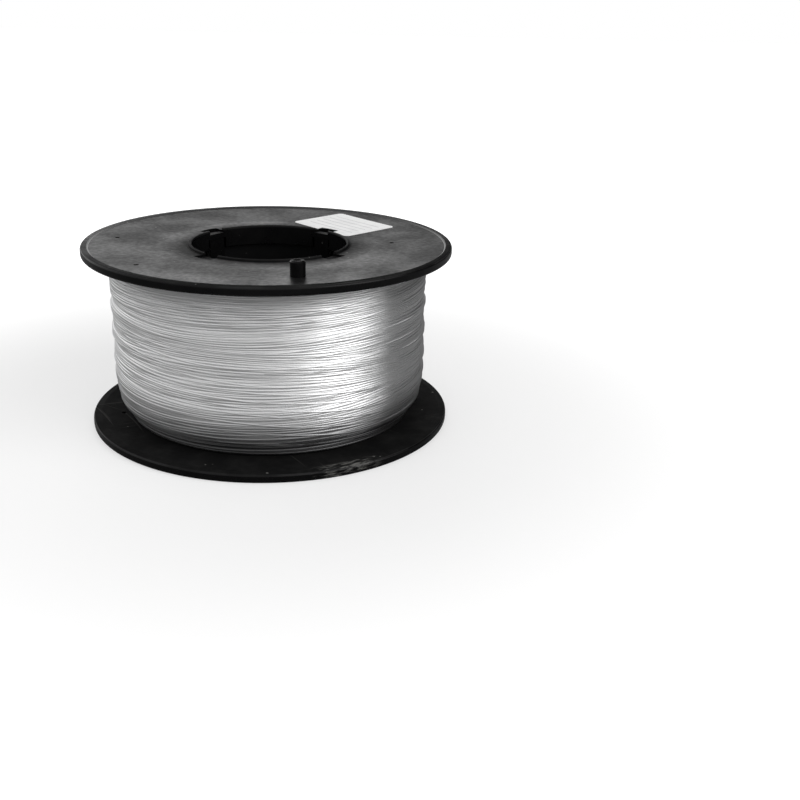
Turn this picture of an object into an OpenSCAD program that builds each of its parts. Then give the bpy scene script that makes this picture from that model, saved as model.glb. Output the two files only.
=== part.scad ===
// Bulk spool of clear fishing line.
// Two like flanges snap into the ends of a barrel that the line is wound on.
// A hollow plug holds the outer end of the line, and one face has a bare label.
// The origin is the middle of the lower face, with +Z along the spindle bore.

/* [Spool] */
// Diameter of both flanges
flange_d = 140; // [134:1:150]
// Height over both flanges
spool_h = 70; // [60:1:80]
// Diameter of the spindle bore
bore_d = 59; // [56:0.5:59]
// Outer diameter of the barrel
barrel_d = 70; // [70:0.5:72]

/* [Flange] */
// Thickness at the rim
rim_t = 3.4; // [3.2:0.1:4]
// Width of the raised bead round the outer face
bead_w = 2.4; // [2:0.1:3]
// Depth of the outer face below the bead, at the rim
face_sink = 0.5; // [0.4:0.1:0.6]
// How much deeper the face lies at the bore: the wound line bows the flanges
face_dish = 0.8; // [0.7:0.1:1]
// Width of the raised lip round the bore
lip_w = 1.3; // [1.2:0.1:1.4]
// Depth of the top of that lip below the bead
lip_sink = 0.45; // [0.2:0.05:0.5]
// Radius that rounds the rim
rim_r = 1; // [0.6:0.1:1.2]

/* [Snap hooks] */
// Number of hooks on a flange
hook_n = 4; // [3:1:6]
// Width of a hook along the circle
hook_w = 8; // [6:0.5:8.5]
// Length of a hook inside the barrel
hook_l = 10; // [9:0.5:12]
// How far the nose of a hook reaches into the barrel wall
nose_reach = 1.5; // [1:0.1:1.8]
// Height of the collar between the hooks
collar_h = 5; // [3:0.5:6]

/* [Line] */
// Diameter of the line
line_d = 0.9; // [0.5:0.1:1.2]
// Diameter of the winding where it is full
winding_d = 120.6; // [112:0.1:122]
// Diameter of the winding on the lower flange
winding_foot_d = 109; // [106:0.5:112]
// Height over which the winding swells to its full diameter
swell_h = 15; // [10:0.5:20]
// Loops shown in the outer layer
loop_n = 24; // [12:1:24]

/* [Line end plug] */
// Diameter of the plug
plug_d = 5.4; // [5:0.1:6]
// Height of the plug above the face
plug_h = 5.5; // [4:0.5:8]
// Diameter of the shank that presses into the flange
shank_d = 4.2; // [3.6:0.1:4.4]
// Distance of the plug from the spindle axis
plug_r = 53.5; // [50:0.5:57]
// Direction of the plug, seen from above
plug_a = -80; // [-90:1:-70]

/* [Label] */
// Width of the label along the circle
label_w = 34.5; // [20:0.5:36]
// Length of the label away from the bore
label_l = 26; // [15:1:27]
// Thickness of the paper
label_t = 0.15; // [0.1:0.05:0.3]
// Distance of the label's middle from the spindle axis
label_r = 45; // [44:0.5:47]
// Direction of the label's middle, seen from above
label_a = 47; // [20:1:70]
// Turn of the label on the face
label_turn = 36; // [30:1:50]

/* [Hidden] */

$fn = 96;
eps = 0.1;
plastic = [0.07, 0.07, 0.075];
nylon = [0.82, 0.83, 0.84];

flange_r = flange_d / 2;
bore_r = bore_d / 2;
barrel_r = barrel_d / 2;
barrel_wall = 2.8;
barrel_in_r = barrel_r - barrel_wall;
start_hole_play = 0.7;
inner_top = spool_h - rim_t;

// The outer face falls from the foot of the bead to the foot of the lip
bead_slope = 0.6;
lip_r = 0.55;
lip_out_r = bore_r + lip_w;
face_out_r = flange_r - bead_w - bead_slope;
function face_depth(r) = face_sink + face_dish * (face_out_r - r) / (face_out_r - lip_out_r);

// The collar fits the barrel, whose end stands in a groove
collar_play = 0.1;
collar_r = barrel_in_r - collar_play;
groove_d = 0.8;
groove_play = 0.1;
lead_edge = 0.6;
inner_edge = 0.4;

// Each hook stands free in a gap of the collar and catches a window in the barrel.
// A second window, through the flange, lets the mould form its nose, and opens into the
// bore through a pocket over the hook's root.
slit_w = 1;
slit_floor = 0.6;
hook_relief = 0.15;
hook_in_r = bore_r + hook_relief;
hook_out_r = collar_r - hook_relief;
hook_root = 0.5;
catch_h = 5.6;
nose_flat = 0.8;
hook_deg = 360 * hook_w / (2 * PI * collar_r);
gap_deg = 360 * (hook_w + 2 * slit_w) / (2 * PI * collar_r);
window_in_r = collar_r + hook_relief;
mould_window_r = barrel_r - 0.1;
pocket_floor = rim_t - 1.3;
barrel_window_w = hook_w + 1.6;
barrel_window_h = hook_l - catch_h + 0.5;
window_play = 0.1;

// Holes that hold the line end at other fills: distance from the axis, direction
line_hole_d = 1.8;
line_hole_spots = [[58.5, -142], [58.5, 172], [47, -2]];

plug_hole_d = shank_d + 0.1;
plug_bore_d = 1.6;
shank_gap = 0.2;
end_inset = 1.2;
plug_seat = spool_h - face_depth(plug_r + plug_d / 2);
plug_top = plug_seat + plug_h;

// The outer layer is drawn as one tube with its loops side by side
winding_r = winding_d / 2;
winding_foot_r = winding_foot_d / 2;
layer_side_play = 0.3;
tube_clearance = 0.45;
layer_h = inner_top - rim_t - 2 * layer_side_play;
tube_d = (layer_h - loop_n * tube_clearance) / (loop_n + 1);
loop_pitch = tube_d + tube_clearance;
tube_sides = 6;
rings_per_loop = 24;
bed_depth = 0.15;
end_bend = 1.6;

// Points of an arc from one direction to another
function arc(x, y, r, a0, a1, n = 6) = [
  for (i = [0:n]) let (a = a0 + (a1 - a0) * i / n) [x + r * cos(a), y + r * sin(a)]
];

// Radius of the finished winding at a height: it swells from its foot along a quarter wave
function winding_at(z) =
  let (t = min(1, max(0, (z - rim_t) / swell_h)))
  winding_foot_r + (winding_r - winding_foot_r) * sin(90 * t);

module at_hooks() {
  for (i = [0:hook_n - 1]) rotate(360 * (i + 0.5) / hook_n) children();
}

module ring_piece(angle) {
  rotate(-angle / 2) rotate_extrude(angle = angle) children();
}

// Half section of a flange, outer face down, with the collar that enters the barrel
module flange_section() {
  bead_in = flange_r - bead_w;
  lip_mid = lip_sink + lip_r;
  collar_top = rim_t + collar_h;
  polygon(concat(
    [[bore_r, collar_top - inner_edge]],
    arc(bore_r + lip_r, lip_mid, lip_r, 180, 270),
    arc(lip_out_r - lip_r, lip_mid, lip_r, 270, 360),
    [[lip_out_r, face_depth(lip_out_r)], [face_out_r, face_sink], [bead_in, 0]],
    arc(flange_r - rim_r, rim_r, rim_r, 270, 360),
    arc(flange_r - rim_r, rim_t - rim_r, rim_r, 0, 90),
    [[barrel_r + groove_play, rim_t], [barrel_r + groove_play, rim_t - groove_d]],
    [[collar_r, rim_t - groove_d], [collar_r, collar_top - lead_edge], [collar_r - lead_edge, collar_top]],
    [[bore_r + inner_edge, collar_top]]
  ));
}

// Half section of a hook, from the root of the collar to its tip
module hook_section() {
  tip = rim_t + hook_l;
  catch = rim_t + catch_h;
  root = rim_t - hook_root;
  nose_r = collar_r + nose_reach;
  polygon([
    [hook_in_r, root], [hook_out_r, root], [hook_out_r, catch], [nose_r, catch],
    [nose_r, catch + nose_flat], [hook_out_r - lead_edge, tip],
    [hook_in_r + inner_edge, tip], [hook_in_r, tip - inner_edge],
  ]);
}

module collar_gap() {
  ring_piece(gap_deg) translate([bore_r - 1, rim_t + slit_floor]) square([collar_r - bore_r + 2, hook_l]);
}

module mould_window() {
  ring_piece(hook_deg) polygon([
    [bore_r - 1, -1], [mould_window_r, -1], [mould_window_r, rim_t + 1],
    [window_in_r, rim_t + 1], [window_in_r, pocket_floor], [bore_r - 1, pocket_floor],
  ]);
}

// Round hole through the face, at a distance and direction seen on the outer face
module face_hole(r, a, d) {
  rotate(-a) translate([r, 0, -1]) cylinder(d = d, h = rim_t + 2, $fn = 32);
}

// The moulding that both ends share, outer face down
module flange() {
  color(plastic) {
    difference() {
      rotate_extrude() flange_section();
      at_hooks() {
        mould_window();
        collar_gap();
      }
      face_hole(plug_r, plug_a, plug_hole_d);
      for (spot = line_hole_spots) face_hole(spot[0], spot[1], line_hole_d);
    }
    at_hooks() ring_piece(hook_deg) hook_section();
  }
}

module lower_flange() {
  flange();
}

module upper_flange() {
  translate([0, 0, spool_h]) rotate([180, 0, 0]) flange();
}

// Tube between the flanges, with a window for each hook and a hole for the line's start
module core_barrel() {
  end_z = rim_t - groove_d;
  window_z = rim_t + catch_h - window_play;
  color(plastic) difference() {
    rotate_extrude() translate([barrel_in_r, end_z]) square([barrel_wall, spool_h - 2 * end_z]);
    at_hooks() {
      translate([barrel_in_r - 1, -barrel_window_w / 2, window_z])
        cube([barrel_wall + 2, barrel_window_w, barrel_window_h]);
      translate([barrel_in_r - 1, -barrel_window_w / 2, spool_h - window_z - barrel_window_h])
        cube([barrel_wall + 2, barrel_window_w, barrel_window_h]);
    }
    translate([0, 0, spool_h / 2]) rotate([0, 90, 0])
      cylinder(d = line_d + start_hole_play, h = barrel_r + 1, $fn = 24);
  }
}

// Line under the outer layer, as one solid ring
module line_inner_layers() {
  steps = 10;
  bed = tube_d - bed_depth;
  side = [for (i = [0:steps]) let (z = rim_t + swell_h * i / steps) [winding_at(z) - bed, z]];
  color(nylon) rotate_extrude() polygon(concat(
    [[barrel_r, inner_top], [barrel_r, rim_t]],
    side,
    [[winding_r - bed, inner_top]]
  ));
}

// Middle line of the outer layer: a climbing coil whose two ends turn in to the layers below
layer_low = rim_t + layer_side_play + tube_d / 2;
layer_turn = 360 * loop_n;
function coil_point(a) =
  let (z = layer_low + loop_pitch * a / 360, r = winding_at(z) - tube_d / 2)
  [r * cos(a), r * sin(a), z];
function coil_end(a, way) =
  let (
    start = coil_point(a),
    out = [cos(a), sin(a), 0],
    along = way * [-sin(a), cos(a), 0]
  )
  concat(
    [for (b = [30:30:90]) start + end_bend * (sin(b) * along - (1 - cos(b)) * out)],
    [start + end_bend * along - (end_bend + tube_d) * out]
  );
function reversed(list) = [for (i = [len(list) - 1:-1:0]) list[i]];
coil_step = 360 / rings_per_loop;
coil_path = concat(
  reversed(coil_end(0, -1)),
  [for (a = [0:coil_step:layer_turn]) coil_point(a)],
  coil_end(layer_turn, 1)
);

// Rings of a tube along a path, each square to the path and kept upright
function unit(v) = v / norm(v);
function heading(path, i) = unit(path[min(i + 1, len(path) - 1)] - path[max(i - 1, 0)]);
function tube_ring(path, i, r, sides) =
  let (
    ahead = heading(path, i),
    side = unit(cross(ahead, [0, 0, 1])),
    up = cross(side, ahead)
  )
  [for (k = [0:sides - 1]) let (a = 360 * k / sides) path[i] + r * (cos(a) * side + sin(a) * up)];

module tube(path, d, sides) {
  n = len(path);
  points = [for (i = [0:n - 1]) each tube_ring(path, i, d / 2, sides)];
  walls = [
    for (i = [0:n - 2], k = [0:sides - 1])
      let (m = (k + 1) % sides, a = i * sides, b = a + sides)
      each [[a + k, b + m, b + k], [a + k, a + m, b + m]]
  ];
  caps = [
    for (k = [1:sides - 2])
      each [[0, k + 1, k], [(n - 1) * sides, (n - 1) * sides + k, (n - 1) * sides + k + 1]]
  ];
  polyhedron(points = points, faces = concat(walls, caps));
}

// Least distance from each point of the coil to the loops beside it, less the tube itself
coil_last = len(coil_path) - 1;
coil_gap = min([
  for (i = [0:coil_last - rings_per_loop / 2])
    for (j = [i + rings_per_loop / 2:min(coil_last, i + rings_per_loop * 3 / 2)])
      norm(coil_path[j] - coil_path[i])
]) - tube_d;
echo(loops = loop_n, tube_d = tube_d, least_gap = coil_gap);

module line_outer_layer() {
  color(nylon) tube(coil_path, tube_d, tube_sides);
}

// Outer end of the line, up through the flange and the hollow of the plug
module line_outer_end() {
  color(nylon) rotate(plug_a) translate([plug_r, 0, inner_top])
    cylinder(d = line_d, h = plug_top - end_inset - inner_top, $fn = 24);
}

// Start of the line, through the barrel wall to a knot inside
module line_start_end() {
  knot_r = 0.8;
  knot_x = bore_r + knot_r + 0.05;
  color(nylon) translate([0, 0, spool_h / 2]) {
    translate([knot_x, 0, 0]) sphere(r = knot_r, $fn = 24);
    translate([knot_x, 0, 0]) rotate([0, 90, 0]) cylinder(d = line_d, h = barrel_r - knot_x, $fn = 24);
  }
}

// Hollow plug whose split shank closes on the line in the flange
module line_end_plug() {
  top_edge = 0.5;
  mouth_edge = 0.7;
  shank_edge = 0.3;
  split_w = 0.6;
  split_h = 2.1;
  shank_bottom = inner_top + shank_gap;
  color(plastic) rotate(plug_a) translate([plug_r, 0, 0]) difference() {
    rotate_extrude($fn = 48) polygon([
      [plug_bore_d / 2, shank_bottom],
      [shank_d / 2 - shank_edge, shank_bottom],
      [shank_d / 2, shank_bottom + shank_edge],
      [shank_d / 2, plug_seat],
      [plug_d / 2, plug_seat],
      [plug_d / 2, plug_top - top_edge],
      [plug_d / 2 - top_edge, plug_top],
      [plug_bore_d / 2 + mouth_edge, plug_top],
      [plug_bore_d / 2, plug_top - mouth_edge],
    ]);
    translate([0, 0, shank_bottom + split_h / 2]) cube([plug_d, split_w, split_h + eps], center = true);
  }
}

// Bare paper label, stuck to the dished face and cut away over the mould window
module label_outline() {
  corner = 2;
  for (s = [-1, 1]) {
    translate([0, s * (label_w / 2 - corner)]) square([label_l - 2 * corner, 2 * corner], center = true);
    for (t = [-1, 1]) {
      translate([t * (label_l / 2 - corner), s * (label_w / 2 - corner)]) circle(r = corner, $fn = 32);
    }
  }
  square([label_l, label_w - 2 * corner], center = true);
}

module face_label() {
  lip_gap = 0.3;
  bead_gap = 0.4;
  trim_gap = 0.5;
  in_r = lip_out_r + lip_gap;
  out_r = face_out_r - bead_gap;
  in_z = spool_h - face_depth(in_r);
  out_z = spool_h - face_depth(out_r);
  color("white") difference() {
    intersection() {
      rotate_extrude() polygon([[in_r, in_z], [out_r, out_z], [out_r, out_z + label_t], [in_r, in_z + label_t]]);
      rotate(label_a) translate([label_r, 0, inner_top]) rotate(label_turn - label_a)
        linear_extrude(rim_t + 1) label_outline();
    }
    at_hooks() translate([0, 0, inner_top])
      ring_piece(hook_deg + 2 * trim_gap) square([mould_window_r + trim_gap, rim_t + 1]);
  }
}

lower_flange();
upper_flange();
core_barrel();
line_inner_layers();
line_outer_layer();
line_outer_end();
line_start_end();
line_end_plug();
face_label();
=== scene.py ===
from math import cos, pi, radians, sin

import bpy
import numpy as np
from mathutils import Matrix, Vector


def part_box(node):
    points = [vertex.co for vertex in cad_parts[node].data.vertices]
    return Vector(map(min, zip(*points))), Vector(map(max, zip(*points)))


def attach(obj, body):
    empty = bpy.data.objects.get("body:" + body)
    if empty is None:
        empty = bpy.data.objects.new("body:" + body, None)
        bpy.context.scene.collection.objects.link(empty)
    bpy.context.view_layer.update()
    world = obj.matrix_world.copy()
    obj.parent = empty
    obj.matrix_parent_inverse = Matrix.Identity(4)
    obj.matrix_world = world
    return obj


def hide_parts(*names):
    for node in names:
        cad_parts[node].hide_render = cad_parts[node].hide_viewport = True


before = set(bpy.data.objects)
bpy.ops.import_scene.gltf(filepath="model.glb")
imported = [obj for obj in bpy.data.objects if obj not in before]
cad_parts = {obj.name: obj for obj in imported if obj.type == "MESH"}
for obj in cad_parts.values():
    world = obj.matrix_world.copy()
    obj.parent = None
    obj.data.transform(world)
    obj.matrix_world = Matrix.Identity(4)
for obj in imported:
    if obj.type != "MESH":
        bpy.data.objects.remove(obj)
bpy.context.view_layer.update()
mm = 0.001

camera = dict(
    place=(0.0, -0.404, 0.1592),
    yaw=0.128,                  # turn to the right, in radians
    pitch=-0.366,               # tilt down
    roll=0.0254,
    focal=1059.5,               # in pixels
    image=800,                  # width of the image, in pixels
    sensor=36.0,                # width that the lens is measured against
    nearest=0.01,               # nothing closer than this is drawn
)


def addCamera():
    c = camera
    ahead = Vector((sin(c["yaw"]) * cos(c["pitch"]), cos(c["yaw"]) * cos(c["pitch"]), sin(c["pitch"])))
    right = Vector((cos(c["yaw"]), -sin(c["yaw"]), 0.0))
    up = right.cross(ahead)
    rolledRight = cos(c["roll"]) * right + sin(c["roll"]) * up
    rolledUp = -sin(c["roll"]) * right + cos(c["roll"]) * up
    turn = Matrix((rolledRight, rolledUp, -ahead)).transposed()
    bpy.ops.object.camera_add(location=c["place"], rotation=turn.to_euler())
    cam = bpy.context.object
    cam.name = "mainCamera"
    cam.data.sensor_width = c["sensor"]
    cam.data.lens = c["focal"] * c["sensor"] / c["image"]
    cam.data.clip_start = c["nearest"]
    bpy.context.scene.camera = cam


addCamera()
print("camera placed")


def addNode(tree, kind, inputs=None, **settings):
    node = tree.nodes.new(kind)
    for name, value in settings.items():
        setattr(node, name, value)
    for name, value in (inputs or {}).items():
        if isinstance(value, bpy.types.NodeSocket):
            tree.links.new(value, node.inputs[name])
        else:
            node.inputs[name].default_value = value
    return node


def calc(tree, operation, a, b=0.0, c=0.0):
    return addNode(tree, "ShaderNodeMath", {0: a, 1: b, 2: c}, operation=operation).outputs[0]


def product(tree, first, *others):
    for factor in others:
        first = calc(tree, "MULTIPLY", first, factor)
    return first


def total(tree, first, *others):
    for term in others:
        first = calc(tree, "ADD", first, term)
    return first


def vectorCalc(tree, operation, a, b=(0.0, 0.0, 0.0), c=(0.0, 0.0, 0.0)):
    return addNode(tree, "ShaderNodeVectorMath", {0: a, 1: b, 2: c}, operation=operation).outputs


def split(tree, vector):
    return addNode(tree, "ShaderNodeSeparateXYZ", {0: vector}).outputs


def joined(tree, x=0.0, y=0.0, z=0.0):
    return addNode(tree, "ShaderNodeCombineXYZ", {0: x, 1: y, 2: z}).outputs[0]


def turned(tree, vector, turn, scale=(1.0, 1.0, 1.0), place=(0.0, 0.0, 0.0)):
    return addNode(tree, "ShaderNodeMapping", {
        "Vector": vector, "Location": place, "Rotation": (0.0, 0.0, turn), "Scale": scale},
        vector_type="TEXTURE").outputs[0]


def ranged(tree, value, low, high, toLow=0.0, toHigh=1.0, smooth=True):
    return addNode(tree, "ShaderNodeMapRange", {
        "Value": value, "From Min": low, "From Max": high, "To Min": toLow, "To Max": toHigh},
        interpolation_type="SMOOTHSTEP" if smooth else "LINEAR").outputs["Result"]


def blended(tree, amount, first, second):
    # sockets of a colour mix: 0 is the amount, 6 and 7 are the colours, and 2 is the result
    node = addNode(tree, "ShaderNodeMix", {0: amount}, data_type="RGBA")
    for socket, value in ((node.inputs[6], first), (node.inputs[7], second)):
        if isinstance(value, bpy.types.NodeSocket):
            tree.links.new(value, socket)
        else:
            socket.default_value = (*value, 1)
    return node.outputs[2]


def noise(tree, vector, scale, detail=3.0, roughness=0.5):
    return addNode(tree, "ShaderNodeTexNoise", {
        "Vector": vector, "Scale": scale, "Detail": detail, "Roughness": roughness}).outputs["Fac"]


def newMaterial(name, **constants):
    mat = bpy.data.materials.new(name)
    mat.use_nodes = True
    tree = mat.node_tree
    shader = tree.nodes["Principled BSDF"]
    for title, value in constants.items():
        shader.inputs[title.replace("_", " ")].default_value = value
    return mat, tree, shader, addNode(tree, "ShaderNodeTexCoord").outputs


studio = dict(
    floorSize=8.0,
    floorTone=0.20,             # as the object sees it
    floorShown=0.50,            # as the camera sees it, which makes the shadow plainer
    floorRough=0.95,
    floorLift=0.51,             # glow that the camera sees, so the floor meets the white backdrop; lower near the object, a painted pool of shade round it
    floorFade=(0.10, 0.36),     # distances from the object over which that glow becomes plain white
    standRing=(0.060, 0.067),   # the glow starts between these, so there is none where the object stands: a painted shadow under it
    boreRing=(0.029, 0.033),    # inside these it is back, for what shows through the bore
    boreLift=0.45,
    underGlow=0.5,              # light on the object's underside, out of the camera's sight
    shownToGloss=0.02,          # share of the white backdrop that reflections see
    # tone of the walls by direction, in degrees to the right of the camera's side
    walls=[(-180, 1.68), (-166, 1.20), (-140, 0.98), (-105, 0.78), (-60, 0.80), (0, 0.90), (12, 1.16),
           (32, 1.42), (74, 1.50), (84, 0.62), (93, 0.02), (152, 0.01), (168, 0.70), (180, 1.68)],
    overhead=0.60,              # tone of the ceiling
    overheadFrom=(0.70, 0.95),  # the walls turn into it between these rises of a unit direction
    keyPlace=(0.64, -0.50, 0.52),
    keyTarget=(0.0, 0.0, 0.035),
    keySize=(0.55, 0.45),
    keyPower=1.6,
)


def shownBackdrop(tree):
    # what the camera sees in full, and reflections and clear material in part
    path = addNode(tree, "ShaderNodeLightPath").outputs
    gloss = total(tree, path["Is Glossy Ray"], path["Is Transmission Ray"])
    return calc(tree, "MAXIMUM", path["Is Camera Ray"], product(tree, gloss, studio["shownToGloss"]))


def addFloor():
    s = studio
    bpy.ops.object.select_all(action="DESELECT")
    bpy.ops.mesh.primitive_plane_add(size=s["floorSize"])
    floor = bpy.context.object
    floor.name = "studioFloor"
    mat, tree, shader, coord = newMaterial("paleFloor", Roughness=s["floorRough"], Specular_IOR_Level=0.0)
    seen = addNode(tree, "ShaderNodeLightPath").outputs["Is Camera Ray"]
    tone = blended(tree, seen, (s["floorTone"],) * 3, (s["floorShown"],) * 3)
    tree.links.new(tone, shader.inputs["Base Color"])

    # painted shade: the camera sees the floor's glow lower near the object and none where it stands
    far = vectorCalc(tree, "LENGTH", coord["Object"])["Value"]
    glow = ranged(tree, far, *s["floorFade"], s["floorLift"], 1.0)
    clearOf = ranged(tree, far, *s["standRing"])
    inBore = ranged(tree, far, *s["boreRing"], s["boreLift"], 0.0)
    shown = product(tree, total(tree, product(tree, glow, clearOf), inBore), shownBackdrop(tree))
    under = product(tree, calc(tree, "SUBTRACT", 1.0, clearOf), calc(tree, "SUBTRACT", 1.0, seen))
    shader.inputs["Emission Color"].default_value = (1, 1, 1, 1)
    strength = calc(tree, "MULTIPLY_ADD", under, s["underGlow"], shown)
    tree.links.new(strength, shader.inputs["Emission Strength"])

    side = addNode(tree, "ShaderNodeNewGeometry")      # from below, the floor lets the object be seen
    clear = addNode(tree, "ShaderNodeBsdfTransparent")
    either = addNode(tree, "ShaderNodeMixShader", {
        0: side.outputs["Backfacing"], 1: shader.outputs[0], 2: clear.outputs[0]})
    tree.links.new(either.outputs[0], tree.nodes["Material Output"].inputs["Surface"])
    mat.cycles.emission_sampling = "NONE"
    floor.data.materials.append(mat)


def addWorld():
    s = studio
    world = bpy.data.worlds.new("studioWorld")
    bpy.context.scene.world = world
    world.use_nodes = True
    tree = world.node_tree
    back = tree.nodes["Background"]
    way = split(tree, addNode(tree, "ShaderNodeTexCoord").outputs["Generated"])
    bearing = calc(tree, "ARCTAN2", way["X"], product(tree, way["Y"], -1.0))
    walls = addNode(tree, "ShaderNodeValToRGB", {0: ranged(tree, bearing, -pi, pi, smooth=False)})
    ramp = walls.color_ramp
    ramp.interpolation = "EASE"
    while len(ramp.elements) < len(s["walls"]):
        ramp.elements.new(0.5)
    for stop, (degrees, tone) in zip(ramp.elements, s["walls"]):
        stop.position = (degrees + 180) / 360
        stop.color = (tone, tone, tone, 1)
    high = ranged(tree, way["Z"], *s["overheadFrom"])
    lit = blended(tree, high, walls.outputs["Color"], (s["overhead"],) * 3)
    tree.links.new(blended(tree, shownBackdrop(tree), lit, (1, 1, 1)), back.inputs["Color"])
    back.inputs["Strength"].default_value = 1.0


def addKeyLamp():
    s = studio
    aim = (Vector(s["keyTarget"]) - Vector(s["keyPlace"])).to_track_quat("-Z", "Y").to_euler()
    bpy.ops.object.light_add(type="AREA", location=s["keyPlace"], rotation=aim)
    lamp = bpy.context.object
    lamp.name = "keyLamp"
    lamp.data.energy = s["keyPower"]
    lamp.data.shape = "RECTANGLE"
    lamp.data.size, lamp.data.size_y = s["keySize"]


addFloor()
addWorld()
addKeyLamp()
bpy.context.scene.view_settings.view_transform = "Standard"
print("studio lit")


# effects that several finishes share; scales count features in a metre, and each pair of limits
# says where a noise starts to show and where it shows in full
mouldLook = dict(
    grainScale=3500.0,
    grainCut=(0.30, 0.70),
    waveScale=55.0,
    waveCut=(0.32, 0.68),
    mottleScale=520.0,
    mottleRough=0.6,
    mottleCut=(0.30, 0.70),
)

handlingLook = dict(
    speckScale=420.0,
    speckShare=0.12,            # share of the cells that hold a speck of dust
    speckSize=0.25,             # radius of the largest, with the width of a cell as 1
    speckSoft=0.05,             # width of its soft edge
    scratchScale=16.0,
    scratchWays=((0.35, 70.0), (-1.15, 55.0), (2.50, 90.0)),    # turn in radians, length over width
    scratchHeight=6.0,          # length over height
    scratchCut=(0.71, 0.75),
    swirlScale=22.0,            # they curve as a slow noise moves them
    swirl=12 * mm,
    patchScale=38.0,            # and lie in patches
    patchCut=(0.50, 0.62),
    filmScale=90.0,
    filmRough=0.62,
    filmCut=(0.35, 0.75),
)

strandLook = dict(
    along=3.0,                  # features in each radian round the spool
    across=900.0,
    bandAcross=130.0,
    streakCut=(0.30, 0.70),
    bandCut=(0.35, 0.65),
)

floatKind, vectorKind = "NodeSocketFloat", "NodeSocketVector"


def newGroup(name, takes, gives):
    tree = bpy.data.node_groups.new(name, "ShaderNodeTree")
    tree.interface.new_socket("Vector", in_out="INPUT", socket_type=vectorKind)
    for title, value in takes.items():
        tree.interface.new_socket(title, in_out="INPUT", socket_type=floatKind).default_value = value
    for title in gives:
        tree.interface.new_socket(title, in_out="OUTPUT", socket_type=floatKind)
    return tree, tree.nodes.new("NodeGroupInput").outputs, tree.nodes.new("NodeGroupOutput").inputs


def placeGroup(tree, group, inputs):
    return addNode(tree, "ShaderNodeGroup", inputs, node_tree=group).outputs


def makeMouldedGrain():
    # fine eroded texture of the mould, and the slow waves of plastic that shrank as it set
    m = mouldLook
    tree, takes, gives = newGroup(
        "mouldedGrain", {"Grain Scale": m["grainScale"], "Wave Scale": m["waveScale"]},
        ("Grain", "Waves", "Mottle"))
    grain = noise(tree, takes["Vector"], takes["Grain Scale"], detail=2.0)
    tree.links.new(ranged(tree, grain, *m["grainCut"]), gives["Grain"])
    waves = noise(tree, takes["Vector"], takes["Wave Scale"])
    tree.links.new(ranged(tree, waves, *m["waveCut"]), gives["Waves"])
    mottle = noise(tree, takes["Vector"], m["mottleScale"], roughness=m["mottleRough"])
    tree.links.new(ranged(tree, mottle, *m["mottleCut"]), gives["Mottle"])
    return tree


def makeHandlingMarks():
    # specks of dust, thin scratches in three directions, and a patchy film
    h = handlingLook
    tree, takes, gives = newGroup(
        "handlingMarks", {"Speck Scale": h["speckScale"], "Scratch Scale": h["scratchScale"]},
        ("Specks", "Scratches", "Film"))
    where = takes["Vector"]
    cells = addNode(tree, "ShaderNodeTexVoronoi", {"Vector": where, "Scale": takes["Speck Scale"]}).outputs
    pick = addNode(tree, "ShaderNodeSeparateColor", {0: cells["Color"]}).outputs[0]
    size = ranged(tree, pick, 1 - h["speckShare"], 1.0, 0.0, h["speckSize"], smooth=False)
    inside = calc(tree, "SUBTRACT", size, cells["Distance"])
    tree.links.new(ranged(tree, inside, 0.0, h["speckSoft"]), gives["Specks"])

    swirl = addNode(tree, "ShaderNodeTexNoise", {
        "Vector": where, "Scale": h["swirlScale"], "Detail": 0.0}).outputs["Color"]
    curved = vectorCalc(tree, "MULTIPLY_ADD", swirl, (h["swirl"], h["swirl"], 0.0), where)[0]
    lines = []
    for turn, stretch in h["scratchWays"]:
        along = turned(tree, curved, turn, (1.0, 1 / stretch, 1 / h["scratchHeight"]))
        lines.append(ranged(tree, noise(tree, along, takes["Scratch Scale"], detail=1.0), *h["scratchCut"]))
    scratches = calc(tree, "MAXIMUM", calc(tree, "MAXIMUM", lines[0], lines[1]), lines[2])
    patches = ranged(tree, noise(tree, where, h["patchScale"], detail=2.0), *h["patchCut"])
    tree.links.new(product(tree, scratches, patches), gives["Scratches"])
    film = noise(tree, where, h["filmScale"], detail=5.0, roughness=h["filmRough"])
    tree.links.new(ranged(tree, film, *h["filmCut"]), gives["Film"])
    return tree


def makeStrandStreaks():
    # tone that runs along the turns of the line: coordinates go round the axis and up it
    s = strandLook
    tree, takes, gives = newGroup(
        "strandStreaks", {"Along": s["along"], "Across": s["across"]}, ("Streaks", "Bands"))
    place = split(tree, takes["Vector"])
    along = product(tree, calc(tree, "ARCTAN2", place["Y"], place["X"]), takes["Along"])
    fine = joined(tree, along, product(tree, place["Z"], takes["Across"]))
    tree.links.new(ranged(tree, noise(tree, fine, 1.0), *s["streakCut"]), gives["Streaks"])
    wide = joined(tree, along, product(tree, place["Z"], s["bandAcross"]))
    tree.links.new(ranged(tree, noise(tree, wide, 1.0, detail=2.0), *s["bandCut"]), gives["Bands"])
    return tree


mouldedGrain = makeMouldedGrain()
handlingMarks = makeHandlingMarks()
strandStreaks = makeStrandStreaks()

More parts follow.
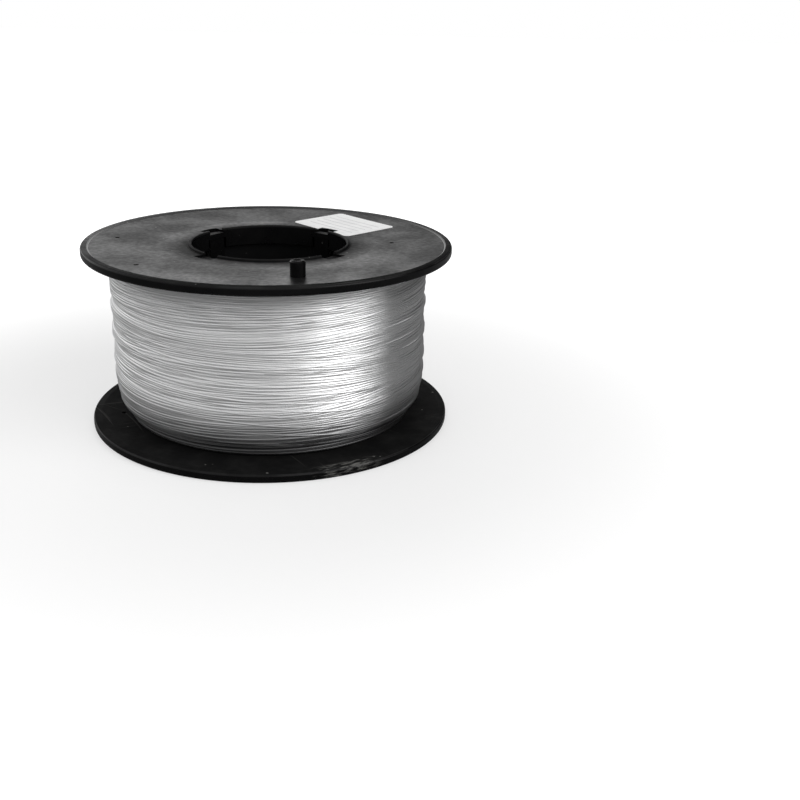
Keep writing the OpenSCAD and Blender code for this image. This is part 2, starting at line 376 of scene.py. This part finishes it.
winding = dict(
    lineDiameter=0.9 * mm,
    fullRadius=60.3 * mm,
    footRadius=54.5 * mm,
    swellHeight=15.0 * mm,      # over which it grows from the foot to its full width
    waves=((0.30 * mm, 9.0 * mm, 0.0), (0.22 * mm, 5.3 * mm, 1.0)),     # height, spacing, start in radians
    low=3.4 * mm,               # inner faces of the flanges
    high=66.6 * mm,
    clearance=0.6,              # of the outermost turns from them, in diameters
    sides=6,
    ringsPerTurn=120,
    seed=14,
    sweepSpeeds=(1.021, 0.972, 2.034, 2.957),           # waves of each bundle, in each turn
    straySpeeds=(0.31, 0.83, 1.27, 1.94, 2.61),         # waves of one turn among its neighbours
    rideSpeeds=(0.71, 3.3),                             # waves in and out
    swing=(0.3, 0.6),           # least and most that one such wave counts
    rideDepth=0.06 * mm,
    looseFoot=0.05,             # share of the height over which the first turns lie further apart
    looseness=2.4,              # how much further apart, in turns
    toneSlow=0.213,             # waves of the strand's tone in each turn
    toneQuick=5.1,              # radians in each turn of a second wave, which comes and goes with the first
    coreDepth=1.40 * mm,        # the layers underneath, below the finished surface
    coreWaves=0.6,              # share of the surface's waves that they have
    coreInside=35.0 * mm,
    coreTurns=68,
    coreSteps=5,                # points for each of its ridges
    coreRidge=0.16 * mm,
    coreFlat=6,                 # points across each of its flat ends
    coreAround=120,
    coreMerge=0.01 * mm,        # joins its last ring to its first
    coreSmooth=radians(40),
)

# one entry for each run of the line: depth of its middle below the finished surface, distance
# between turns, how far a whole bundle sweeps up and down, how far one turn strays, which way it
# climbs, whether its first turns lie loose, and its finish
lineRuns = [
    dict(name="lineBed", depth=0.94 * mm, pitch=0.86 * mm, sweep=0.4 * mm, stray=0.03 * mm, climb=1,
         loose=0, finish="deep"),
    dict(name="lineRise", depth=0.72 * mm, pitch=0.93 * mm, sweep=1.6 * mm, stray=0.13 * mm, climb=1,
         loose=1, finish="clear"),
    dict(name="lineReturn", depth=0.56 * mm, pitch=0.98 * mm, sweep=2.6 * mm, stray=0.16 * mm, climb=-1,
         loose=1, finish="clear"),
    dict(name="lineCross", depth=0.45 * mm, pitch=3.2 * mm, sweep=8.0 * mm, stray=0.50 * mm, climb=1,
         loose=1, finish="clear"),
]


def surfaceRadius(z):
    w = winding
    swollen = np.clip((z - w["low"]) / w["swellHeight"], 0, 1)
    return w["footRadius"] + (w["fullRadius"] - w["footRadius"]) * np.sin(swollen * pi / 2)


def surfaceWaves(z):
    return sum(height * np.sin(z * 2 * pi / spacing + start)
               for height, spacing, start in winding["waves"])


def wander(turn, speeds, luck, fade):
    # waves of several lengths; a fade of 1 makes the quick ones smaller, and 0 leaves them
    path = np.zeros(len(turn))
    for speed in speeds:
        wave = np.sin(2 * pi * (speed * turn + luck.random()))
        path += wave * luck.uniform(*winding["swing"]) / speed ** fade
    return path


def vertexPlaces(piece):
    places = np.zeros(len(piece.data.vertices) * 3)
    piece.data.vertices.foreach_get("co", places)
    return places.reshape(-1, 3)


def moveVertices(piece, places):
    piece.data.vertices.foreach_set("co", places.ravel())
    piece.data.update()


def startCircle(name, vertices, radius, place=(0, 0, 0), facing=(0, 0, 0), fill="NOTHING"):
    bpy.ops.object.select_all(action="DESELECT")
    bpy.ops.mesh.primitive_circle_add(
        vertices=vertices, radius=radius, fill_type=fill, location=place, rotation=facing)
    piece = bpy.context.object
    piece.name = name
    bpy.ops.object.transform_apply(location=True, rotation=True, scale=True)
    return piece


def turnScrew(piece, steps, axis="Z", rise=0.0, turns=1, merge=None):
    screw = piece.modifiers.new("screw", "SCREW")
    screw.axis = axis
    screw.angle = 2 * pi
    screw.screw_offset = rise
    screw.iterations = turns
    screw.steps = screw.render_steps = steps
    screw.use_merge_vertices = merge is not None
    if merge is not None:
        screw.merge_threshold = merge
    bpy.ops.object.modifier_apply(modifier="screw")


def turnOutwards():
    bpy.ops.mesh.select_all(action="SELECT")
    bpy.ops.mesh.normals_make_consistent(inside=False)
    bpy.ops.object.mode_set(mode="OBJECT")


def closeEnds(sides):
    bpy.ops.object.mode_set(mode="EDIT")
    bpy.ops.mesh.select_all(action="DESELECT")
    bpy.ops.mesh.select_non_manifold()
    bpy.ops.mesh.fill_holes(sides=sides)
    turnOutwards()
    bpy.ops.object.shade_smooth()


def windRun(run, luck):
    w = winding
    gap = w["lineDiameter"] * w["clearance"]
    low, high = w["low"] + gap, w["high"] - gap
    turns = max(2, int(round((high - low) / run["pitch"])))
    strand = startCircle(run["name"], w["sides"], w["lineDiameter"] / 2,
                         (w["fullRadius"], 0, low), (pi / 2, 0, 0))
    turnScrew(strand, w["ringsPerTurn"], rise=(high - low) / turns, turns=turns)

    rings = vertexPlaces(strand).reshape(-1, w["sides"], 3)
    turn = np.arange(len(rings)) / w["ringsPerTurn"]
    climbed = turn / turns
    height = low + (high - low) * climbed
    outward = np.hypot(rings[:, :, 0], rings[:, :, 1]) - w["fullRadius"]
    upward = rings[:, :, 2] - height[:, None]           # each ring about its own middle
    spread = w["looseness"] * w["looseFoot"] * (1 - climbed) * (1 - np.exp(-climbed / w["looseFoot"]))
    height = height + (high - low) * spread * run["loose"]

    sweep = wander(turn, w["sweepSpeeds"], luck, 1)
    stray = wander(turn, w["straySpeeds"], luck, 0)
    room = np.sqrt(np.sin(np.clip((height - low) / (high - low), 0, 1) * pi))
    height = np.clip(height + room * (run["sweep"] * sweep + run["stray"] * stray), low, high)
    ride = sum(np.sin(2 * pi * (speed * turn + luck.random())) for speed in w["rideSpeeds"])
    radius = surfaceRadius(height) - run["depth"] + w["rideDepth"] * ride + surfaceWaves(height)
    angle = 2 * pi * turn * run["climb"]
    rings[:, :, 0] = (radius[:, None] + outward) * np.cos(angle)[:, None]
    rings[:, :, 1] = (radius[:, None] + outward) * np.sin(angle)[:, None]
    rings[:, :, 2] = height[:, None] + upward
    moveVertices(strand, rings)

    slow = np.sin(2 * pi * (w["toneSlow"] * turn + luck.random()))
    tone = 0.5 + 0.5 * slow * np.sin(w["toneQuick"] * turn)
    shade = strand.data.attributes.new("strandTone", "FLOAT", "POINT")
    shade.data.foreach_set("value", np.repeat(tone, w["sides"]))
    closeEnds(w["sides"])
    return strand


def windCore():
    # the layers underneath, as one ring whose outside keeps the ridges of the turns
    w = winding
    climb = np.linspace(0, 1, w["coreTurns"] * w["coreSteps"])
    z = w["low"] + (w["high"] - w["low"]) * climb
    r = surfaceRadius(z) - w["coreDepth"] + w["coreWaves"] * surfaceWaves(z)
    r += w["coreRidge"] * (np.abs(np.sin(climb * pi * w["coreTurns"])) - 0.5)
    inward = np.linspace(r[-1], w["coreInside"], w["coreFlat"] + 1)[1:]
    outward = np.linspace(w["coreInside"], r[0], w["coreFlat"] + 1)[:-1]
    r = np.concatenate([r, inward, outward])
    z = np.concatenate([z, np.full(w["coreFlat"], w["high"]), np.full(w["coreFlat"], w["low"])])

    core = startCircle("lineCore", len(r), w["coreInside"])
    moveVertices(core, np.stack([r, np.zeros(len(r)), z], 1))
    turnScrew(core, w["coreAround"], merge=w["coreMerge"])
    bpy.ops.object.mode_set(mode="EDIT")
    turnOutwards()
    bpy.ops.object.shade_smooth_by_angle(angle=w["coreSmooth"])
    return core


nylon = dict(
    ior=1.53,
    metallic=0.96,              # stands for light that goes round inside the close-packed clear strands
    stretch=0.85,               # the sheen spreads across the strands and hardly along them
    stretchTurn=0.24,           # as a share of a full turn
    roughness=(0.32, 0.41),     # least and most, in bands
    ownTone=0.35,               # what each strand's tone, the streaks and the bands count
    streakTone=0.35,
    bandTone=0.30,
    dull=(0.89, 0.892, 0.897),
    clear=(0.95, 0.952, 0.956),
    paintedShade=(0.13, 0.13, 0.132),         # painted shade on the line beside the flanges
    foot=(6.0 * mm, 27.0 * mm),         # heights over which the painted shade at the foot fades out, and the shading grows smooth
    head=(50.0 * mm, 78.0 * mm),        # and over which painted shade grows under the upper flange
    smoothed=0.42,              # how far a strand's shading leans to that of the whole winding
    looseSmoothed=0.25,         # the same at the foot, where strands lie apart
    deepRough=0.45,             # the layers underneath
    deepAlong=2.0,
    deepAcross=700.0,
    deepDull=(0.84, 0.84, 0.845),
    deepClear=(0.93, 0.93, 0.935),
    # painted shade on the layers underneath, beside the flanges, over the heights below
    deepPaintedShade=(0.012, 0.012, 0.0125),
    deepFoot=(8.0 * mm, 26.0 * mm),
    deepHead=(56.0 * mm, 72.0 * mm),
    deepBump=(0.4, 0.1 * mm),   # strength and depth
)


# mask of the painted shade on the line: 0 beside the flanges, 1 clear of them
def outsidePaintedShade(tree, z, foot, head):
    return product(tree, ranged(tree, z, *foot), ranged(tree, z, *head, 1.0, 0.0))


def windingFacing(tree, coord, smoothed):
    # light that wanders through packed clear strands leaves them nearly as one smooth wall
    w = winding
    place = split(tree, coord["Object"])
    rise = ranged(tree, place["Z"], w["low"], w["low"] + w["swellHeight"], 0.0, pi / 2, smooth=False)
    steepest = (w["footRadius"] - w["fullRadius"]) * pi / 2 / w["swellHeight"]
    lean = product(tree, calc(tree, "COSINE", rise), steepest)
    outward = vectorCalc(tree, "NORMALIZE", joined(tree, place["X"], place["Y"]))[0]
    wall = vectorCalc(tree, "ADD", outward, joined(tree, z=lean))[0]
    world = addNode(tree, "ShaderNodeVectorTransform", {0: wall},
                    vector_type="NORMAL", convert_from="OBJECT", convert_to="WORLD").outputs[0]
    own = addNode(tree, "ShaderNodeNewGeometry").outputs["Normal"]
    # sockets of a vector mix: 0 is the amount, 4 and 5 are the vectors, and 1 is the result
    both = addNode(tree, "ShaderNodeMix", {0: smoothed, 4: own, 5: world}, data_type="VECTOR").outputs[1]
    return vectorCalc(tree, "NORMALIZE", both)[0]


def nylonMaterial():
    n = nylon
    mat, tree, shader, coord = newMaterial(
        "clearNylon", IOR=n["ior"], Metallic=n["metallic"], Anisotropic=n["stretch"],
        Anisotropic_Rotation=n["stretchTurn"])
    streaks = placeGroup(tree, strandStreaks, {"Vector": coord["Object"]})
    own = addNode(tree, "ShaderNodeAttribute", attribute_name="strandTone").outputs["Fac"]
    tone = total(tree, product(tree, own, n["ownTone"]),
                 product(tree, streaks["Streaks"], n["streakTone"]),
                 product(tree, streaks["Bands"], n["bandTone"]))
    z = split(tree, coord["Object"])["Z"]
    # painted shade: the line's colour darkens towards both flanges
    lit = outsidePaintedShade(tree, z, n["foot"], n["head"])
    colour = blended(tree, lit, n["paintedShade"], blended(tree, tone, n["dull"], n["clear"]))
    tree.links.new(colour, shader.inputs["Base Color"])
    tree.links.new(ranged(tree, streaks["Bands"], 0, 1, *n["roughness"]), shader.inputs["Roughness"])
    smoothed = ranged(tree, z, *n["foot"], n["looseSmoothed"], n["smoothed"])
    tree.links.new(windingFacing(tree, coord, smoothed), shader.inputs["Normal"])
    return mat


def deepNylonMaterial():
    n = nylon
    mat, tree, shader, coord = newMaterial("deepNylon", Roughness=n["deepRough"], IOR=n["ior"])
    streaks = placeGroup(tree, strandStreaks, {
        "Vector": coord["Object"], "Along": n["deepAlong"], "Across": n["deepAcross"]})
    tone = blended(tree, streaks["Streaks"], n["deepDull"], n["deepClear"])
    # painted shade: the layers underneath darken towards both flanges
    lit = outsidePaintedShade(tree, split(tree, coord["Object"])["Z"], n["deepFoot"], n["deepHead"])
    tree.links.new(blended(tree, lit, n["deepPaintedShade"], tone), shader.inputs["Base Color"])
    strength, depth = n["deepBump"]
    bump = addNode(tree, "ShaderNodeBump", {
        "Strength": strength, "Distance": depth, "Height": streaks["Streaks"]})
    tree.links.new(bump.outputs[0], shader.inputs["Normal"])
    return mat


lineEnds = dict(
    sides=12,
    tip=0.72,                   # the cut ends are rounded off to this share of the width
    smooth=radians(50),
    endSteps=14,                # the outer end stands in the hollow plug
    endSway=0.22 * mm,          # and wavers in it
    swaySpeeds=(5.0, 3.7),      # by so many radians on its way up, in X and in Y
    endRounding=(0.10 * mm, 0.12 * mm),
    height=35.0 * mm,           # the start goes through the barrel at this height
    # and its rings lie at these distances from the spindle axis
    startAway=[29.75 * mm, 29.85 * mm, 31.0 * mm, 32.4 * mm, 33.6 * mm, 34.8 * mm, 34.95 * mm],
    knotSides=8,                # it is knotted inside the bore
    knotLine=0.36 * mm,         # radius of the line where the knot squeezes it
    knotAway=30.0 * mm,         # where its coil begins, from the spindle axis
    knotRadius=0.62 * mm,
    knotPitch=0.62 * mm,
    knotTurns=3,
    knotSteps=20,
)


def drawStrand(name, places, facing):
    # a short length of line, pushed out ring by ring along its places
    e = lineEnds
    narrow = winding["lineDiameter"] * e["tip"] / 2
    piece = startCircle(name, e["sides"], narrow, places[0], facing, "NGON")
    bpy.ops.object.mode_set(mode="EDIT")
    bpy.ops.mesh.select_all(action="SELECT")
    last = len(places) - 1
    for i in range(1, last + 1):
        step = Vector(places[i]) - Vector(places[i - 1])
        bpy.ops.mesh.extrude_region_move(TRANSFORM_OT_translate={"value": step})
        grow = 1 / e["tip"] if i == 1 else e["tip"] if i == last else 1.0
        bpy.ops.transform.resize(value=(grow, grow, grow))
    turnOutwards()
    bpy.ops.object.shade_smooth_by_angle(angle=e["smooth"])
    return piece


def outerEndPlaces():
    # up the middle of the hollow plug
    e = lineEnds
    (left, front, low), (right, back, high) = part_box("line_outer_end")
    places = []
    for t in np.linspace(0, 1, e["endSteps"]):
        x = (left + right) / 2 + e["endSway"] * sin(t * e["swaySpeeds"][0])
        y = (front + back) / 2 + e["endSway"] * cos(t * e["swaySpeeds"][1])
        places.append((x, y, low + (high - low) * t))
    places.insert(1, (*places[0][:2], low + e["endRounding"][0]))
    places.insert(-1, (*places[-1][:2], high - e["endRounding"][1]))
    return places


def tieKnot():
    e = lineEnds
    height = np.array([0, 0, e["height"]])
    knot = startCircle("lineStartKnot", e["knotSides"], e["knotLine"],
                       (e["knotAway"], 0, e["height"] + e["knotRadius"]), (pi / 2, 0, 0))
    moveVertices(knot, vertexPlaces(knot) - height)     # a screw along X turns about height 0
    turnScrew(knot, e["knotSteps"], "X", e["knotPitch"], e["knotTurns"])
    moveVertices(knot, vertexPlaces(knot) + height)
    closeEnds(e["knotSides"])
    return knot


def keepLine(piece, node, mat):
    piece.data.materials.clear()
    piece.data.materials.append(mat)
    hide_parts(node)
    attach(piece, "spool")


def addLine():
    luck = np.random.default_rng(winding["seed"])
    finishes = dict(clear=nylonMaterial(), deep=deepNylonMaterial())
    for run in lineRuns:
        strand = windRun(run, luck)
        keepLine(strand, "line_outer_layer", finishes[run["finish"]])
        print("wound", strand.name, len(strand.data.polygons), "faces")
    keepLine(windCore(), "line_inner_layers", finishes["deep"])

    outerEnd = drawStrand("lineOuterEnd", outerEndPlaces(), (0, 0, 0))
    keepLine(outerEnd, "line_outer_end", finishes["clear"])
    startPlaces = [(away, 0, lineEnds["height"]) for away in lineEnds["startAway"]]
    startEnd = drawStrand("lineStartEnd", startPlaces, (0, pi / 2, 0))
    keepLine(startEnd, "line_start_end", finishes["clear"])
    keepLine(tieKnot(), "line_start_end", finishes["clear"])


addLine()
print("line wound")

plastic = dict(
    ior=1.5,
    specular=0.13,
    black=(0.0032, 0.0032, 0.0034),
    worn=(0.020, 0.020, 0.0205),
    dust=(0.16, 0.158, 0.15),
    flat=(0.75, 0.97),          # how level a surface is, from none of a flat face to all of one
    upward=(0.2, 0.9),          # the same for what faces up
    faceRough=0.44,
    rimRough=0.20,
    barrelRough=(0.50, 0.42),   # its flat faces and the rest
    plugRough=(0.62, 0.20),
    barrelMarks=0.6,            # wear, next to that of the flanges
    plugMarks=0.5,
    middle=35.0 * mm,           # half the height of the spool
    innerRough=1.0,             # the flanges' faces towards the line come out of a matt mould
    innerWithin=(31.5 * mm, 32.5 * mm),         # these faces' distance from the middle
    lipRough=0.60,              # the lip round the bore, dulled by spindles
    lipEdge=(31.2 * mm, 31.6 * mm),
    lipTop=(33.6 * mm, 34.0 * mm),
    lipFall=(29.4 * mm, 31.5 * mm, 0.9),        # its top falls outwards between these radii, by so many mm
    beadRough=0.55,             # the top of the bead, dulled by stacking
    beadEdge=(67.0 * mm, 67.3 * mm),
    beadLevel=(0.6, 0.9),
    beadFall=(67.0 * mm, 69.6 * mm, 1.5),
    fillet=(31.0 * mm, 41.0 * mm),      # the face curls up a little to the lip between these radii
    filletRise=1.1,             # by so many mm
    filletRough=0.22,
    bow=(40.0 * mm, 66.5 * mm),         # and falls from the rim as the wound line bows it
    bowRise=1.6,
    blotch=0.24,                # how much the sheen of a flat face varies
    waveShare=0.55,             # parts of the mould's waves and mottle in that
    mottleShare=0.45,
    settle=0.75,                # share of the dirt that lies only on what faces up
    filmAmount=0.06,
    filmRough=0.6,
    speckAmount=0.60,
    scratchAmount=0.22,
    grainHeight=0.5,            # of the bump, beside the waves and the scratches
    waveHeight=0.5,
    scratchDepth=0.6,
    wornEdge=(68.8 * mm, 69.8 * mm),
    wornFrom=(0.15, 0.50),      # how level the rounded edge is where the wear starts
    wornTo=(0.80, 0.98),        # and where it ends
    wornPatches=(0.45, 0.90),
    wornAmount=0.5,
    scuffPlace=(25.0 * mm, -62.5 * mm, 3.4 * mm),       # rubbed patch on the lower flange's edge, partly a painted highlight on its rounded corner
    scuffReach=(4.0 * mm, 16.0 * mm),
    scuffFrom=(64.5 * mm, 66.5 * mm),
    scuffTurn=radians(23),
    scuffLength=6.0,            # of its marks over their width
    scuffScale=1400.0,
    scuffRough=0.6,
    scuffCut=(0.46, 0.66),
    scuffAmount=0.80,
    bump=(0.25, 0.02 * mm),     # strength and depth
)


def surveyed(tree, coord):
    # where a point of a moulding lies, and how level the surface is there
    p = plastic
    place, facing = split(tree, coord["Object"]), split(tree, coord["Normal"])
    away = calc(tree, "SQRT", total(
        tree, product(tree, place["X"], place["X"]), product(tree, place["Y"], place["Y"])))
    level = calc(tree, "ABSOLUTE", facing["Z"])
    return dict(
        where=coord["Object"],
        away=away,
        fromMiddle=calc(tree, "ABSOLUTE", calc(tree, "SUBTRACT", place["Z"], p["middle"])),
        level=level,
        face=ranged(tree, level, *p["flat"]),
        up=ranged(tree, facing["Z"], *p["upward"]),
        curl=calc(tree, "POWER", ranged(tree, away, *p["fillet"], 1.0, 0.0, smooth=False), 2.0),
    )


# rubbed marks on the lower flange's edge, lightened in part as a painted highlight there
def scuffsAndPaintedHighlight(tree, at):
    p = plastic
    along = turned(tree, at["where"], p["scuffTurn"], (p["scuffLength"], 1.0, 1.0))
    rubbed = noise(tree, along, p["scuffScale"], detail=4.0, roughness=p["scuffRough"])
    marks = ranged(tree, rubbed, *p["scuffCut"])
    far = vectorCalc(tree, "DISTANCE", at["where"], p["scuffPlace"])["Value"]
    return product(tree, marks, ranged(tree, far, *p["scuffReach"], 1.0, 0.0),
                   ranged(tree, at["away"], *p["scuffFrom"]))


def wornColour(tree, at, mould, used, film, settled, marks):
    p = plastic
    corner = product(tree, ranged(tree, at["level"], *p["wornFrom"]),
                     ranged(tree, at["level"], *p["wornTo"], 1.0, 0.0))
    worn = product(tree, ranged(tree, at["away"], *p["wornEdge"]), corner,
                   ranged(tree, mould["Waves"], *p["wornPatches"]))
    specks = product(tree, used["Specks"], settled, p["speckAmount"] * marks)
    scratches = product(tree, used["Scratches"], at["face"], p["scratchAmount"] * marks)
    # scuffs, partly painted highlight, on the lower flange's edge
    scuffAndHighlight = product(tree, scuffsAndPaintedHighlight(tree, at), p["scuffAmount"] * marks)
    dirt = film
    for other in (specks, scratches, scuffAndHighlight):
        dirt = calc(tree, "MAXIMUM", dirt, other)
    colour = blended(tree, product(tree, worn, p["wornAmount"]), p["black"], p["worn"])
    return blended(tree, dirt, colour, p["dust"])


def mouldedRoughness(tree, at, mould, faceRough, rimRough):
    p = plastic
    inner = product(tree, ranged(tree, at["fromMiddle"], *p["innerWithin"], 1.0, 0.0),
                    p["innerRough"] - faceRough)
    flat = product(tree, at["face"], total(tree, inner, faceRough - rimRough))
    rough = total(tree, flat, rimRough, product(tree, at["curl"], at["face"], p["filletRough"]))
    lip = product(tree, ranged(tree, at["away"], *p["lipEdge"], 1.0, 0.0),
                  ranged(tree, at["fromMiddle"], *p["lipTop"]), p["lipRough"] - rimRough)
    rough = calc(tree, "MAXIMUM", rough, total(tree, lip, rimRough))
    bead = product(tree, ranged(tree, at["away"], *p["beadEdge"]),
                   ranged(tree, at["level"], *p["beadLevel"]), p["beadRough"])
    rough = calc(tree, "MAXIMUM", rough, bead)
    waves = total(tree, product(tree, mould["Waves"], p["waveShare"]),
                  product(tree, mould["Mottle"], p["mottleShare"]))
    blotch = calc(tree, "SUBTRACT", waves, 0.5)
    return total(tree, rough, product(tree, blotch, at["face"], p["blotch"]))


def mouldedNormal(tree, at, mould, used):
    # the main forms are in the mesh, and these slight ones in the shading
    p = plastic
    bow = ranged(tree, at["away"], *p["bow"], 0.0, p["bowRise"], smooth=False)
    form = total(tree, product(tree, at["curl"], p["filletRise"]), bow)
    for near, beyond, fall in (p["lipFall"], p["beadFall"]):
        form = total(tree, form, ranged(tree, at["away"], near, beyond, fall, 0.0, smooth=False))
    curled = addNode(tree, "ShaderNodeBump", {"Distance": 1.0 * mm, "Height": form})    # form is in mm
    grain = total(tree, product(tree, mould["Grain"], p["grainHeight"]),
                  product(tree, mould["Waves"], p["waveHeight"]))
    height = calc(tree, "SUBTRACT", grain, product(tree, used["Scratches"], p["scratchDepth"]))
    strength, depth = p["bump"]
    bump = addNode(tree, "ShaderNodeBump", {
        "Strength": strength, "Distance": depth, "Height": height, "Normal": curled.outputs[0]})
    return bump.outputs[0]


def plasticMaterial(name, faceRough, rimRough, marks=1.0):
    p = plastic
    mat, tree, shader, coord = newMaterial(name, IOR=p["ior"], Specular_IOR_Level=p["specular"])
    mould = placeGroup(tree, mouldedGrain, {"Vector": coord["Object"]})
    used = placeGroup(tree, handlingMarks, {"Vector": coord["Object"]})
    at = surveyed(tree, coord)
    settled = total(tree, product(tree, at["up"], p["settle"]), 1 - p["settle"])
    film = product(tree, used["Film"], settled, p["filmAmount"] * marks)
    colour = wornColour(tree, at, mould, used, film, settled, marks)
    tree.links.new(colour, shader.inputs["Base Color"])
    rough = mouldedRoughness(tree, at, mould, faceRough, rimRough)
    tree.links.new(total(tree, rough, product(tree, film, p["filmRough"])), shader.inputs["Roughness"])
    tree.links.new(mouldedNormal(tree, at, mould, used), shader.inputs["Normal"])
    return mat


def dress(node, mat):
    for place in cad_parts[node].material_slots:
        place.material = mat


flangeMaterial = plasticMaterial("flangePlastic", plastic["faceRough"], plastic["rimRough"])
dress("upper_flange", flangeMaterial)
dress("lower_flange", flangeMaterial)
dress("core_barrel", plasticMaterial("barrelPlastic", *plastic["barrelRough"], plastic["barrelMarks"]))
dress("line_end_plug", plasticMaterial("plugPlastic", *plastic["plugRough"], plastic["plugMarks"]))
print("plastic set")

label = dict(
    away=45 * mm,               # its middle's distance and direction from the spindle axis
    bearing=radians(47),
    turn=radians(36),
    roughness=0.62,
    ior=1.48,
    specular=0.35,
    paper=(0.92, 0.92, 0.915),
    shade=(0.84, 0.84, 0.84),
    shadeScale=130.0,
    shadeCut=(0.40, 0.72),
    fibreScale=2600.0,
    fibreRough=0.6,
    fibreHeight=0.2,            # next to that of the wrinkles
    rule=(0.50, 0.50, 0.51),    # plain ruled lines, as on a blank stock label
    ruleGap=3.6 * mm,
    ruleShare=0.14,             # of the gap that the ink takes
    ruleReach=(9.0 * mm, 13.5 * mm),            # half the width and length of the ruled field
    ruleCut=(0.2, 0.6),
    ruleInk=(0.3, 0.8),         # least and most, with the fibres
    wrinkleScale=220.0,
    bump=(0.3, 0.05 * mm),      # strength and depth
)


def labelMaterial():
    s = label
    mat, tree, shader, coord = newMaterial(
        "labelPaper", Roughness=s["roughness"], IOR=s["ior"], Specular_IOR_Level=s["specular"])
    middle = (s["away"] * cos(s["bearing"]), s["away"] * sin(s["bearing"]), 0.0)
    own = turned(tree, coord["Object"], s["turn"], place=middle)
    place = split(tree, own)
    fibre = noise(tree, own, s["fibreScale"], roughness=s["fibreRough"])
    shade = ranged(tree, noise(tree, own, s["shadeScale"]), *s["shadeCut"])
    colour = blended(tree, shade, s["paper"], s["shade"])

    steps = calc(tree, "FRACT", product(tree, place["X"], 1 / s["ruleGap"]))
    faint = calc(tree, "LESS_THAN", steps, s["ruleShare"])
    for axis, reach in zip("XY", s["ruleReach"]):
        inside = calc(tree, "LESS_THAN", calc(tree, "ABSOLUTE", place[axis]), reach)
        faint = product(tree, faint, inside)
    faint = product(tree, faint, ranged(tree, fibre, *s["ruleCut"], *s["ruleInk"]))
    tree.links.new(blended(tree, faint, colour, s["rule"]), shader.inputs["Base Color"])

    wrinkles = noise(tree, own, s["wrinkleScale"], detail=4.0)
    height = total(tree, product(tree, fibre, s["fibreHeight"]), wrinkles)
    strength, depth = s["bump"]
    bump = addNode(tree, "ShaderNodeBump", {"Strength": strength, "Distance": depth, "Height": height})
    tree.links.new(bump.outputs[0], shader.inputs["Normal"])
    return mat


dress("face_label", labelMaterial())
print("label set")
